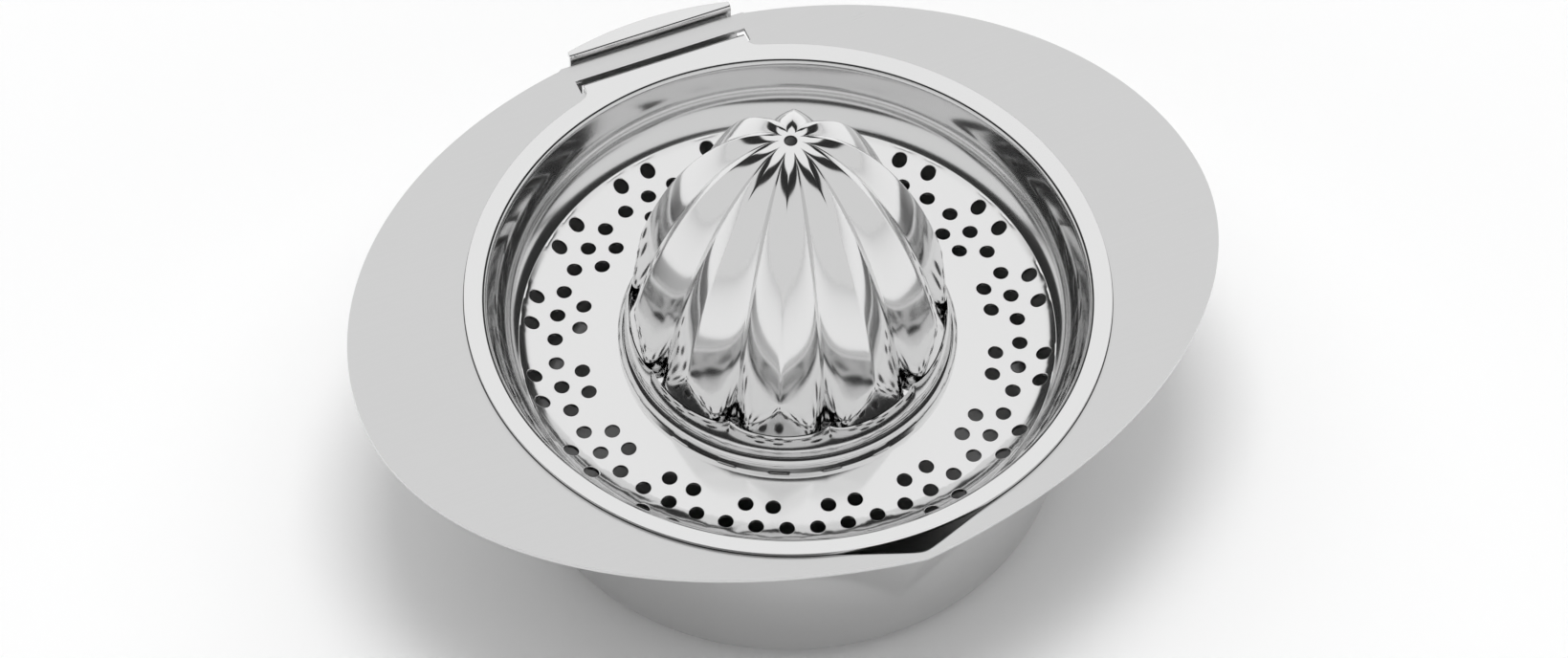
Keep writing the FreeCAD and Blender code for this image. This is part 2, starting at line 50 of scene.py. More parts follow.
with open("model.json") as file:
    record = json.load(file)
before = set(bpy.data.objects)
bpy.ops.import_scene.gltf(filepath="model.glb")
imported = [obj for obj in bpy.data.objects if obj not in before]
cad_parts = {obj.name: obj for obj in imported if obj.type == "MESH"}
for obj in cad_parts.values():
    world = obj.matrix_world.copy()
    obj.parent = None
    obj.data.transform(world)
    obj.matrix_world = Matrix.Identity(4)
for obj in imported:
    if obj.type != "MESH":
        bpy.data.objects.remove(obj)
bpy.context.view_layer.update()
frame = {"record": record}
BOWL_LOW, BOWL_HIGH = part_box("juice_bowl")
DISH_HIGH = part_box("strainer_dish")[1]
CONE_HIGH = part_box("reamer_cone")[1]

MM = 0.001
TAU = 2 * math.pi
REAR = 0.5 * math.pi  # Polar angle of the slot and the tongue
FRONT = 1.5 * math.pi  # Polar angle of the spout
BOWL_COLUMNS = 400  # Grid columns round the bowl
CELL_COLUMNS = 6  # Grid columns across one cell of the strainer floor
RIDGE_CURVE = (1.55, 0.57)  # Power and fullness of a ridge, from its foot to the tip
VALLEY_CURVE = (1.7, 0.66)  # Power and fullness of a valley
GAP_SHADOW_SHARE = 0.12  # Share of its colour that the steel keeps in the painted shadow where the flange ends
LAMP_PLACE = (0.06, 0.15, 1.6)  # In metres, over the object and a little behind it
LAMP_SIZE = 0.7  # In metres, along one side


def length(name, description, default):
    """A size in metres that a user can set."""
    return FloatProperty(
        name=name, description=description, default=default, min=0, precision=5,
        subtype="DISTANCE", unit="LENGTH")


def degrees(name, description, default):
    """An angle that a user can set, given here in degrees."""
    return FloatProperty(
        name=name, description=description, default=math.radians(default),
        subtype="ANGLE", unit="ROTATION")


def number(name, description, default):
    """A plain number that a user can set."""
    return FloatProperty(name=name, description=description, default=default, precision=4)


def colour(name, description, default):
    """A colour that a user can set."""
    return FloatVectorProperty(
        name=name, description=description, default=default, size=3, min=0, max=1,
        subtype="COLOR")


class BowlSettings(bpy.types.PropertyGroup):
    """Sizes of the juice bowl and its brim."""

    sheet: length("Sheet", "Thickness of the bowl's sheet", 0.9 * MM)
    rim: length("Brim height", "Height of the brim's top face", BOWL_HIGH.z)
    half_length: length("Brim half length", "Reach of the brim to each side", BOWL_HIGH.x)
    rear_edge: length("Rear edge", "Reach of the brim's straight rear edge", BOWL_HIGH.y)
    rear_margin: length("Rear margin", "How far the rear oval would pass the rear edge", 1.5 * MM)
    nose: length("Nose", "Reach of the brim's pointed front", -BOWL_LOW.y)
    front_sweep: length("Front sweep", "Shift of each front oval to the other side", 22 * MM)
    foot: length("Foot", "Inner radius of the wall carried down to the floor", 52.4 * MM)
    knuckle: length("Knuckle", "Inner radius of the bend between floor and wall", 6 * MM)
    mouth: length("Mouth", "Inner radius of the wall carried up to the brim", 60.1 * MM)
    roll: length("Roll", "Radius of the bend from the wall into the brim", 1.4 * MM)
    spout_reach: length("Spout reach", "Where the spout's two sides would meet", 67.6 * MM)
    spout_roll: length("Spout roll", "Radius of the bend along the spout's sides", 0.5 * MM)
    spout_drop: length("Spout drop", "Depth at which the spout runs out on the wall", 28 * MM)
    slot_half: length("Slot half length", "Half the length of the slot", 18.2 * MM)
    slot_width: length("Slot width", "Width of the slot", 3.4 * MM)
    strip: length("Strip", "Width of the strip behind the slot", 4 * MM)


class DishSettings(bpy.types.PropertyGroup):
    """Sizes of the strainer dish, its tongue and its thumb grip."""

    sheet: length("Sheet", "Thickness of the insert's sheet", 0.8 * MM)
    flange: length("Flange radius", "Radius of the rim that lies on the brim", DISH_HIGH.x)
    flange_width: length("Flange width", "Width of the rim, from the wall carried up", 4.2 * MM)
    depth: length("Basin depth", "From the flange's top to the floor", 15.6 * MM)
    draft: degrees("Draft", "Slope of the basin wall from upright", 12)
    curve: length("Basin curve", "Radius between floor and wall", 13 * MM)
    fall: degrees("Floor fall", "Slope of the floor down from the cone", 5.5)
    lip: length("Lip", "Outer radius of the bend from the wall into the rim", 1.9 * MM)
    bend: length("Bend", "Outer radius of the sheet's bends", 1.2 * MM)
    hole: length("Hole radius", "Radius of a drain hole", 1.5 * MM)
    clusters: IntProperty(name="Clusters", description="Clusters of seven holes", default=16)
    turn: degrees("Pattern turn", "Turn of the pattern from the +X side", -8)
    row_margin: length("Row margin", "From the wall's foot to the middle row", 10 * MM)
    row_pitch: length("Row pitch", "Between rows of holes", 4.7 * MM)
    collar: length("Collar", "Outer radius of the collar in the middle", 32.25 * MM)
    collar_height: length("Collar height", "Height of the collar", 2.4 * MM)
    tongue_half: length("Tongue half width", "Half the tongue's width", 17.3 * MM)
    shoulder: length("Shoulder", "Radius between tongue and flange", 2.5 * MM)
    leg_reach: length("Leg reach", "From the flange's edge to the leg's outer face", 1.3 * MM)
    hook_clearance: length("Hook clearance", "From the brim down to the hook's floor", 2.3 * MM)
    grip_gap: length("Grip gap", "From the brim's rear edge to the grip", 0.7 * MM)
    grip_rise: length("Grip rise", "From the brim's top to the grip's top", 2 * MM)
    grip_side: length("Grip side", "Reach of the grip's corners", 0.6 * MM)


class ConeSettings(bpy.types.PropertyGroup):
    """Sizes of the reamer cone."""

    sheet: length("Sheet", "Thickness of the cone's sheet", 0.8 * MM)
    lobes: IntProperty(name="Lobes", description="Number of lobes", default=10)
    turn: degrees("Turn", "Turn of the first ridge from the +X side", -8)
    ring: length("Ring radius", "Radius of the foot's ring", CONE_HIGH.x)
    ring_round: length("Ring rounding", "Width of the ring's turned down edge", 1.3 * MM)
    ring_bulge: number("Ring bulge", "From 0 for a flat bevel to 1 for a round edge", 0.35)
    skirt: length("Skirt", "Height of the ring's upright side", 3.35 * MM)
    crease: length("Crease radius", "Where the lobes' shoulder meets the ring", 31.9 * MM)
    shoulder: length("Shoulder height", "Height of the round shoulder under the lobes", 3.9 * MM)
    ridge: length("Ridge radius", "Radius of a ridge, carried down to the lobes' base", 33 * MM)
    valley: length("Valley radius", "Radius of a valley, carried down to the base", 28.3 * MM)
    base: length("Lobe base", "From the floor up to the lobes' base", 4.8 * MM)
    waist: length("Waist", "From the floor up to the lobes' widest place", 11.8 * MM)
    facet: length("Facet radius", "Radius that the ridges are turned down to", 31.05 * MM)
    tip: length("Tip radius", "Radius of the flat round the tip hole", 1.6 * MM)
    hole: length("Tip hole", "Radius of the hole in the tip", 1.3 * MM)


class FinishSettings(bpy.types.PropertyGroup):
    """Colours and gloss of the two steel finishes."""

    satin: colour("Satin steel", "Colour of the bowl", (0.68, 0.68, 0.68))
    satin_roughness: number("Satin roughness", "Spread of the bowl's reflections", 0.3)
    polished: colour("Polished steel", "Colour of the insert", (0.86, 0.86, 0.86))
    polished_roughness: number("Polished roughness", "Spread of the insert's reflections", 0.05)


class StageSettings(bpy.types.PropertyGroup):
    """Camera, floor and light."""

    distance: length("Camera distance", "From the middle of the brim to the camera", 1.473)
    elevation: degrees("Camera elevation", "Height of the camera over the brim", 51.89)
    heading: degrees("Camera heading", "Turn of the camera round the object", -113.6)
    roll: degrees("Camera roll", "Turn of the camera about its own axis", 0.91)
    lens: number("Lens", "Focal length in millimetres on a 36 mm wide sensor", 174.1)
    shift_x: number("Shift across", "Shift of the picture, as a share of its width", -0.0027)
    shift_y: number("Shift up", "Shift of the picture, as a share of its width", -0.0219)
    floor: colour("Floor colour", "Colour of the pale floor", (0.97, 0.97, 0.97))
    sky: number("Sky", "Brightness of the light tent overhead", 0.98)
    wall: number("Wall", "Brightness of the light tent's walls", 0.78)
    tilt: number("Gap tilt", "Rise of the gap towards the near side", 0.41)
    gap_low: number("Gap foot", "Height of the gap's lower edge, on a tent of radius 1", 0.36)
    gap_high: number("Gap head", "Height of the gap's upper edge", 0.7)
    gap: number("Gap light", "Light in the gap, as a share of its surroundings", 0.04)
    lamp: number("Lamp", "Power of the soft lamp overhead, in watts", 10)


def settings():
    """The sizes and colours in use."""
    return bpy.context.scene.squeezer


# Shapes as arrays


def smooth(value):
    """From 0 to 1 with no slope at the ends: 3 v squared less 2 v cubed, v held between 0 and 1."""
    held = np.clip(value, 0, 1)
    return held * held * (3 - 2 * held)


def soft_max(first, second, width):
    """The larger of two values, rounded where they cross: half of sum and hypotenuse."""
    return 0.5 * (first + second + np.sqrt((first - second) ** 2 + width ** 2))


def soft_min(first, second, width):
    """The smaller of two values, rounded where they cross."""
    return -soft_max(-first, -second, width)


def turn_from(angle, heading):
    """Turn from a heading to polar angles, held between minus pi and pi."""
    return (angle - heading + math.pi) % TAU - math.pi


def polar(reach, angle, *height):
    """Points at polar angles: reach times cosine, reach times sine and, where given, height."""
    return np.stack(
        np.broadcast_arrays(reach * np.cos(angle), reach * np.sin(angle), *height), -1)


def arc(centre, radius, start, end, steps):
    """Points of a circular arc in a section: centre plus radius times (cos, sin)."""
    angle = np.radians(np.linspace(start, end, steps))
    return np.stack([centre[0] + radius * np.cos(angle), centre[1] + radius * np.sin(angle)], -1)


def grid_faces(rows, columns, closed):
    """Quads of a grid of points, row by row. A closed grid joins its last column to its first."""
    row, column = np.meshgrid(
        np.arange(rows - 1), np.arange(columns if closed else columns - 1), indexing="ij")
    following = (column + 1) % columns
    quads = np.stack([
        row * columns + column, row * columns + following,
        (row + 1) * columns + following, (row + 1) * columns + column], -1)
    return quads.reshape(-1, 4)


def weld(patches):
    """One point list and one face list from patches whose edges share their places."""
    points = np.concatenate([np.reshape(patch, (-1, 3)) for patch, _ in patches])
    starts = np.cumsum([0] + [np.reshape(patch, (-1, 3)).shape[0] for patch, _ in patches[:-1]])
    faces = np.concatenate([quads + start for (_, quads), start in zip(patches, starts)])
    _, first, which = np.unique(
        np.round(points / (0.002 * MM)).astype(int), axis=0, return_index=True, return_inverse=True)
    return points[first], which.reshape(-1)[faces]


def make_piece(name, points, faces, sheet, rounding, material, node):
    """A sheet metal piece: its upper face as given, its sheet laid on below, its edges rounded.
    Quads that have a corner twice become triangles."""
    mesh = bpy.data.meshes.new(name)
    corners = [tuple(dict.fromkeys(face)) for face in faces.tolist()]
    corners.sort(key=lambda face: len(face) < 4)
    mesh.from_pydata(points.tolist(), [], [face for face in corners if len(face) > 2])
    mesh.validate()
    mesh.shade_smooth()
    piece = bpy.data.objects.new(name, mesh)
    bpy.context.scene.collection.objects.link(piece)
    wall = piece.modifiers.new("Sheet", "SOLIDIFY")
    wall.thickness = sheet
    wall.offset = -1
    wall.use_even_offset = True
    wall.use_quality_normals = True
    edges = piece.modifiers.new("Edges", "BEVEL")
    edges.width = rounding
    edges.segments = 2
    edges.limit_method = "ANGLE"
    edges.angle_limit = math.radians(50)
    normals = piece.modifiers.new("Normals", "WEIGHTED_NORMAL")
    normals.weight = 80
    mesh.materials.append(material)
    body = next(b for b, nodes in frame["record"]["behaviour"]["bodies"].items() if node in nodes)
    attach(piece, body)
    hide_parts(node)


# Shader writing


class Wire:
    """A socket that adds Math nodes when it is used in an expression."""

    def __init__(self, shader, socket):
        self.shader = shader
        self.socket = socket

    def math(self, operation, *values):
        return self.shader.node(
            "ShaderNodeMath", {"operation": operation}, dict(enumerate(values)))

    def __add__(self, other):
        return self.math("ADD", self, other)

    def __radd__(self, other):
        return self.math("ADD", other, self)

    def __sub__(self, other):
        return self.math("SUBTRACT", self, other)

    def __rsub__(self, other):
        return self.math("SUBTRACT", other, self)

    def __mul__(self, other):
        return self.math("MULTIPLY", self, other)

    def __rmul__(self, other):
        return self.math("MULTIPLY", other, self)

    def clamped(self, low, high):
        """From 0 at low to 1 at high, smoothly."""
        return self.shader.node(
            "ShaderNodeMapRange", {"interpolation_type": "SMOOTHSTEP"},
            {"Value": self, "From Min": low, "From Max": high})


class Shader:
    """A node tree that is written as expressions."""

    def __init__(self, tree):
        self.tree = tree
        tree.nodes.clear()

    def node(self, kind, options, inputs, output=0):
        """A node of a kind: its options are set first, then its sockets' values and links."""
        node = self.tree.nodes.new(kind)
        for option, value in options.items():
            setattr(node, option, value)
        for key, value in inputs.items():
            if isinstance(value, Wire):
                self.tree.links.new(value.socket, node.inputs[key])
            else:
                node.inputs[key].default_value = value
        return Wire(self, node.outputs[output]) if node.outputs else None

    def place(self, scale):
        """Object coordinates, stretched by a scale along each axis."""
        where = self.node("ShaderNodeTexCoord", {}, {}, "Object")
        return self.node("ShaderNodeMapping", {}, {"Vector": where, "Scale": scale})

    def noise(self, place, scale, detail):
        """Cloudy noise from 0 to 1."""
        return self.node(
            "ShaderNodeTexNoise", {}, {"Vector": place, "Scale": scale, "Detail": detail})

    def mix(self, share, first, second):
        """Two colours mixed."""
        return self.node(
            "ShaderNodeMix", {"data_type": "RGBA"}, {0: share, 6: first, 7: second}, 2)


def shaded(tint, share):
    """A colour for a socket, as a share of a tint."""
    return tuple(share * part for part in tint) + (1,)


def steel(name, tint, roughness, spread, grain, grain_height, wave, wave_height):
    """Bare steel: a grain of fine lines along X, low waves in the sheet, cloudy gloss and colour,
    and a painted shadow, a dark line where the dish's flange ends. Grain and wave are the noises'
    scales."""
    material = bpy.data.materials.new(name)
    material.use_nodes = True
    shader = Shader(material.node_tree)
    stretch = (0.03, 1, 1)
    lines = shader.noise(shader.place(stretch), grain, 3)
    clouds = shader.noise(shader.place((1, 1, 1)), wave, 2)
    shade = shader.mix(lines * 0.5 + clouds * 0.5, shaded(tint, 0.93), shaded(tint, 1))
    # Painted shadow: the steel is darkened where the flange ends, for the shaded gap between flange
    # and brim
    shade = shader.mix(flange_gap_shadow_mask(shader), shade, shaded(tint, GAP_SHADOW_SHARE))
    gloss = roughness + (lines - 0.5) * spread + (clouds - 0.5) * spread
    bump = shader.node("ShaderNodeBump", {}, {
        "Strength": 1, "Distance": wave_height, "Height": clouds})
    bump = shader.node("ShaderNodeBump", {}, {
        "Strength": 1, "Distance": grain_height, "Height": lines, "Normal": bump})
    surface = shader.node("ShaderNodeBsdfPrincipled", {}, {
        "Base Color": shade, "Metallic": 1.0, "Roughness": gloss, "Normal": bump})
    shader.node("ShaderNodeOutputMaterial", {}, {"Surface": surface})
    return material


def flange_gap_shadow_mask(shader):
    """Mask of the painted shadow where the dish's flange ends: a dark line for the shaded gap
    between flange and brim. On the dish it covers the upright edge. On the bowl it is a narrow ring
    of the brim, which stays in sight when the insert is tilted up. Its limits lie close to the
    flange's radius and the brim's height, and it ends before the tongue."""
    dish, rim = settings().dish, settings().bowl.rim
    where = shader.node("ShaderNodeTexCoord", {}, {}, "Object")
    x, y, z = (
        shader.node("ShaderNodeSeparateXYZ", {}, {"Vector": where}, axis) for axis in "XYZ")
    reach = x.math("SQRT", x * x + y * y)
    outside = reach.clamped(dish.flange - 0.3 * MM, dish.flange - 0.1 * MM)
    below = z.clamped(rim + 0.65 * MM, rim + 0.5 * MM) * z.clamped(rim - 0.2 * MM, rim - 0.1 * MM)
    return outside * below * y.clamped(50 * MM, 48 * MM) * reach.clamped(
        dish.flange + 0.2 * MM, dish.flange + 0.1 * MM)


def satin_steel():
    """The bowl's fine satin finish."""
    finish = settings().finish
    return steel(
        "satin_steel", finish.satin, finish.satin_roughness, spread=0.06,
        grain=2600, grain_height=0.002 * MM, wave=30, wave_height=0.02 * MM)


def polished_steel():
    """The insert's mirror polish, shared by the dish and the cone."""
    finish = settings().finish
    known = bpy.data.materials.get("polished_steel")
    return known or steel(
        "polished_steel", finish.polished, finish.polished_roughness, spread=0.02,
        grain=900, grain_height=0.0006 * MM, wave=40, wave_height=0.01 * MM)


# Juice bowl


def brim_outline(angle, bowl):
    """Reach of the brim's outline at polar angles: at the rear an oval cut by a straight edge, at
    the front the nearer of two ovals shifted to the other side, which meet in the nose."""
    across, along = np.cos(angle), np.sin(angle)
    rear_depth = bowl.rear_edge + bowl.rear_margin
    oval = 1 / np.sqrt((across / bowl.half_length) ** 2 + (along / rear_depth) ** 2)
    rear = np.minimum(oval, bowl.rear_edge / np.maximum(along, 1e-6))
    long = bowl.half_length + bowl.front_sweep
    deep = bowl.nose / math.sqrt(1 - (bowl.front_sweep / long) ** 2)
    a = (across / long) ** 2 + (along / deep) ** 2
    b = np.abs(across) * bowl.front_sweep / long ** 2
    c = (bowl.front_sweep / long) ** 2 - 1
    front = (-b + np.sqrt(b * b - a * c)) / a
    return np.where(along > 0, rear, front)


def bowl_angles(bowl):
    """Polar angles of the bowl's columns, closer together at the spout and at the slot's ends. The
    density is 1 elsewhere, with peaks at the spout's point, over the spout and at the slot's ends,
    and each column takes an equal share of its sum."""
    point_width = 0.03
    spout_width = 0.5
    angle = TAU * np.linspace(0, 1, 4001)
    slot_end = math.asin(bowl.slot_half / (bowl.mouth + bowl.roll))
    spout = np.abs(turn_from(angle, FRONT))
    slot = np.abs(np.abs(angle - REAR) - slot_end)
    density = 1 + 7 * np.exp(-(spout / point_width) ** 2)
    density += 2.2 * np.exp(-(spout / spout_width) ** 4)
    density += 3 * np.exp(-(slot / point_width) ** 2)
    travel = np.concatenate([[0], np.cumsum(0.5 * (density[1:] + density[:-1]))])
    found = np.interp(np.arange(BOWL_COLUMNS) / BOWL_COLUMNS * travel[-1], travel, angle)
    for place in (REAR - slot_end, REAR + slot_end, FRONT):
        found[np.argmin(np.abs(found - place))] = place
    return found


def wall_reach(angle, height, bowl):
    """Inner radius of the wall at polar angles and heights: a straight slope, pushed out at the
    front by a spout whose plan is a V. The V's sides lie at a spread angle from the front, and its
    reach falls in a straight line down to where it runs out."""
    keel_round = 0.02
    inset = 2 * MM
    blend = 0.4 * MM
    blend_excess = 0.05 * MM
    slope = (bowl.mouth - bowl.foot) / (bowl.rim - bowl.sheet)
    wall = bowl.foot + slope * (height - bowl.sheet)
    low = bowl.rim - bowl.spout_drop
    low_reach = bowl.foot + slope * (low - bowl.sheet)
    top_reach = bowl.spout_reach - bowl.spout_roll
    reach = low_reach + (top_reach - low_reach) * (height - low) / bowl.spout_drop
    spread = math.acos(DISH_HIGH.x / bowl.spout_reach)
    off = np.abs(turn_from(angle, FRONT))
    rounded = np.sqrt(off ** 2 + keel_round ** 2)
    side = reach * math.cos(spread) / np.cos(np.minimum(rounded, spread) - spread)
    side = side - (side - wall + inset) * smooth((off - spread) / spread)
    return np.where(height > low, soft_max(wall, side, blend) - blend_excess, wall)


def juice_bowl_surface(bowl):
    """Inside of the bowl and top of the brim. Rows run from the middle of the floor through the
    knuckle, the wall, the roll and the brim to its outline; columns run round."""
    angle = bowl_angles(bowl)
    count = len(angle)
    slope = math.atan((bowl.mouth - bowl.foot) / (bowl.rim - bowl.sheet))
    tangent = bowl.knuckle * math.tan(0.25 * math.pi - 0.5 * slope)
    knuckle = arc((bowl.foot - tangent, bowl.sheet + bowl.knuckle), bowl.knuckle,
                  -90, -math.degrees(slope), 10)
    floor = np.stack([
        np.linspace(0, 1, 10)[1:-1] * knuckle[0, 0], np.full(8, bowl.sheet)], -1)
    rows = [polar(radius, angle, height) for radius, height in np.concatenate([floor, knuckle])]
    spout_push = wall_reach(angle, np.full(count, bowl.rim), bowl) - bowl.mouth
    roll = bowl.roll + (bowl.spout_roll - bowl.roll) * smooth(spout_push / (1.2 * MM))
    climb = 1 - (1 - np.linspace(0, 1, 34)[1:]) ** 1.35
    for share in climb:
        height = knuckle[-1, 1] + share * (bowl.rim - roll - knuckle[-1, 1])
        rows.append(polar(wall_reach(angle, height, bowl), angle, height))
    for turn in np.radians(np.linspace(0, 90, 7)[1:]):
        height = bowl.rim - roll + roll * math.sin(turn)
        reach = wall_reach(angle, height, bowl) + roll * (1 - math.cos(turn))
        rows.append(polar(reach, angle, height))
    mouth = rows[-1][:, :2]
    slot_rows = brim_rows(mouth, brim_ends(angle, mouth, bowl), bowl)
    rows += [np.concatenate([plan, np.full((count, 1), bowl.rim)], 1) for plan in slot_rows]
    points = np.concatenate([np.stack(rows).reshape(-1, 3), [[0, 0, bowl.sheet]]])
    faces = grid_faces(len(rows), count, True)
    middle = len(points) - 1
    column = np.arange(count)
    hub = np.full(count, middle)
    fan = np.stack([(column + 1) % count, column, hub, hub], -1)
    first = (len(rows) - len(slot_rows)) * count
    centre = points[faces].mean(1)
    inner_edge = bowl.rear_edge - bowl.strip - bowl.slot_width
    in_slot = (
        (np.abs(centre[:, 0]) < bowl.slot_half) & (centre[:, 1] > inner_edge)
        & (centre[:, 1] < bowl.rear_edge - bowl.strip) & (faces[:, 0] >= first - count))
    return points, np.concatenate([faces[~in_slot], fan])[:, ::-1]


def brim_ends(angle, mouth, bowl):
    """Where each column ends on the outline. Behind the slot the columns run straight to the rear
    edge; further round they turn smoothly back to the outline's own polar angle."""
    last = 1.1
    off = turn_from(angle, REAR)
    half = bowl.slot_half + 1.5 * MM
    edge = math.asin(half / (bowl.mouth + bowl.roll))
    edge_end = math.atan2(half, bowl.rear_edge)
    share = np.clip((np.abs(off) - edge) / (last - edge), 0, 1)
    turned = edge_end + (last - edge_end) * (0.8 * share + 0.2 * share ** 2)
    end_angle = REAR + np.sign(off) * np.where(np.abs(off) > last, np.abs(off), turned)
    straight = np.stack([mouth[:, 0], np.full(len(angle), bowl.rear_edge)], -1)
    round_ends = polar(brim_outline(end_angle, bowl), end_angle)
    return np.where((np.abs(off) <= edge)[:, None], straight, round_ends)


def brim_rows(mouth, outer, bowl):
    """Rows of the brim in plan from the mouth to the outline. Two of them follow the slot's edges
    where the columns cross it, and keep their share of the way elsewhere."""
    near = (np.abs(mouth[:, 0]) < bowl.slot_half + 1.6 * MM) & (mouth[:, 1] > 0)
    rise = np.where(near, outer[:, 1] - mouth[:, 1], 1)
    edges = []
    for y in (bowl.rear_edge - bowl.strip - bowl.slot_width, bowl.rear_edge - bowl.strip):
        share = (y - mouth[:, 1]) / rise
        end = share[near][[0, -1]].mean()
        edges.append(np.where(near, share, end))
    first, second = edges
    shares = [first * t for t in (0.2, 0.5, 1)]
    shares += [first + (second - first) * t for t in (0.5, 1)]
    shares += [second + (1 - second) * t for t in (0.25, 0.5, 0.75, 0.92, 1)]
    return [mouth + (outer - mouth) * share[:, None] for share in shares]


# Strainer dish


def dish_section(dish, rim):
    """Section of the dish's upper face: heights of the flange and the floor, then radii of the
    wall's foot, of the curve's centre and of the bend's centre."""
    top = rim + dish.sheet
    floor = top - dish.depth
    slope = math.tan(dish.draft)
    wall_top = dish.flange - dish.flange_width
    wall_foot = wall_top - dish.depth * slope
    curve_centre = wall_foot + dish.curve * slope - dish.curve / math.cos(dish.draft)
    bend_centre = wall_top - dish.lip * slope + dish.lip / math.cos(dish.draft)
    return top, floor, wall_foot, curve_centre, bend_centre


def floor_height(radius, dish, rim):
    """Height of the dish's floor: a gentle slope down from the cone, then up a round curve towards
    the wall."""
    _, floor, _, centre, _ = dish_section(dish, rim)
    beyond = np.clip(radius - centre, 0, 0.999 * dish.curve)
    inside = soft_max(centre - radius, 0 * radius, 1.5 * MM)
    return (floor + dish.curve - np.sqrt(dish.curve ** 2 - beyond ** 2)
            + math.tan(dish.fall) * inside)


def hole_cell(centre_angle, low, high, half_cell, columns, dish):
    """A piece of the floor round one hole, in plan. Rings blend from the hole's circle to the
    cell's border, which has as many points on each side as the grid beside it."""
    side = np.arange(columns) / columns
    flat = np.concatenate([side * 2 - 1, np.ones(columns), 1 - side * 2, -np.ones(columns)])
    tall = np.concatenate([-np.ones(columns), side * 2 - 1, np.ones(columns), 1 - side * 2])
    middle = 0.5 * (low + high)
    border = polar(middle + tall * 0.5 * (high - low), centre_angle + flat * half_cell)
    heading = math.radians(-135) + TAU * np.arange(4 * columns) / (4 * columns)
    out, sideways = dish.hole * np.sin(heading), dish.hole * np.cos(heading)
    circle = np.stack([
        (middle + out) * np.cos(centre_angle) - sideways * np.sin(centre_angle),
        (middle + out) * np.sin(centre_angle) + sideways * np.cos(centre_angle)], -1)
    return np.stack([circle + (border - circle) * share for share in (0, 0.1, 0.3, 0.6, 1)])


def hole_rows(dish, rim):
    """Radii where the three rows of cells begin and end, and of the middle row."""
    _, _, wall_foot, _, _ = dish_section(dish, rim)
    middle = wall_foot - dish.row_margin
    return middle - 1.5 * dish.row_pitch, middle, middle + 1.5 * dish.row_pitch


def dish_floor(dish, rim):
    """Patches of the floor that hold the holes: three rows of cells. The middle row has a hole in
    each cell, the inner and outer rows have one in two cells of three."""
    columns = CELL_COLUMNS
    cell = TAU / (3 * dish.clusters)
    _, middle, _ = hole_rows(dish, rim)
    patches = []
    for row in (-1, 0, 1):
        low = middle + (row - 0.5) * dish.row_pitch
        high = middle + (row + 0.5) * dish.row_pitch
        for index in range(3 * dish.clusters):
            start = dish.turn + (index - (0.5 if row == 0 else 0)) * cell
            if row == 0 or index % 3 != 1:
                plan = hole_cell(start + 0.5 * cell, low, high, 0.5 * cell, columns, dish)
                faces = grid_faces(plan.shape[0], plan.shape[1], True)
            else:
                angle = start + cell * np.arange(columns + 1) / columns
                plan = polar(np.linspace(low, high, columns + 1)[:, None], angle)
                faces = grid_faces(columns + 1, columns + 1, False)[:, ::-1]
            reach = np.hypot(plan[..., 0], plan[..., 1])
            patches.append((
                np.concatenate([plan, floor_height(reach, dish, rim)[..., None]], -1), faces))
    return patches


def tongue_outline(dish):
    """The shoulder between flange and tongue: its centre and where it leaves the flange."""
    across = dish.tongue_half + dish.shoulder
    centre = math.sqrt((dish.flange + dish.shoulder) ** 2 - across ** 2)
    return across, centre, math.atan2(across, centre)


def dish_rim(dish, rim, angle):
    """Patches of the curve, wall and bend and of the flange, and the line where the tongue begins.
    In the flange the columns beside the tongue are moved a little, so that two of them end where
    its shoulders begin; between these the flange stops short of its edge, and the tongue goes on
    from there."""
    stop_short = 1.6 * MM
    top, floor, _, centre, bend = dish_section(dish, rim)
    _, _, outer = hole_rows(dish, rim)
    draft = math.degrees(dish.draft)
    start = math.degrees(math.asin((outer - centre) / dish.curve)) - 90
    curve = arc((centre, floor + dish.curve), dish.curve, start, -draft, 18)
    turn = arc((bend, top - dish.lip), dish.lip, 180 - draft, 90, 12)
    wall = curve[-1] + (turn[0] - curve[-1]) * np.linspace(0, 1, 8)[1:-1, None]
    section = np.concatenate([curve, wall, turn])
    basin = polar(section[:, :1], angle, section[:, 1:])
    _, _, shoulder = tongue_outline(dish)
    off = turn_from(angle, REAR)
    step = TAU / len(angle)
    shift = np.zeros(len(angle))
    ends = []
    for side in (-1, 1):
        index = np.argmin(np.abs(off - side * shoulder))
        ends.append(index)
        gap = side * shoulder - off[index]
        shift += gap * np.exp(-((off - off[index]) / (5 * step)) ** 2)
    share = np.linspace(0, 1, 7)[:, None]
    inside = 1 - np.clip(np.abs(off + shift) / shoulder, 0, 1) ** 4
    radius = section[-1, 0] + (dish.flange - stop_short * inside - section[-1, 0]) * share
    flange = polar(radius, angle + shift * smooth(share), top)
    patches = [
        (points, grid_faces(points.shape[0], points.shape[1], True)[:, ::-1])
        for points in (basin, flange)]
    return patches, flange[-1, ends[0]:ends[1] + 1]


def hook_section(dish, bowl):
    """Section of the tongue's upper face from the first bend to the thumb grip, in the YZ plane."""
    top = bowl.rim + dish.sheet
    inner = dish.bend - dish.sheet
    leg = dish.flange + dish.leg_reach
    floor = bowl.rim - bowl.sheet - dish.hook_clearance
    grip = bowl.rear_edge + dish.grip_gap
    grip_top = bowl.rim + dish.grip_rise
    down = arc((leg - dish.bend, top - dish.bend), dish.bend, 90, 0, 9)
    foot = arc((leg + inner, floor + inner), inner, 180, 270, 6)
    rear = arc((grip - inner, floor + inner), inner, -90, 0, 6)
    over = arc((grip + dish.bend, grip_top - dish.bend), dish.bend, 180, 90, 9)
    return np.concatenate([down, foot, rear, over])


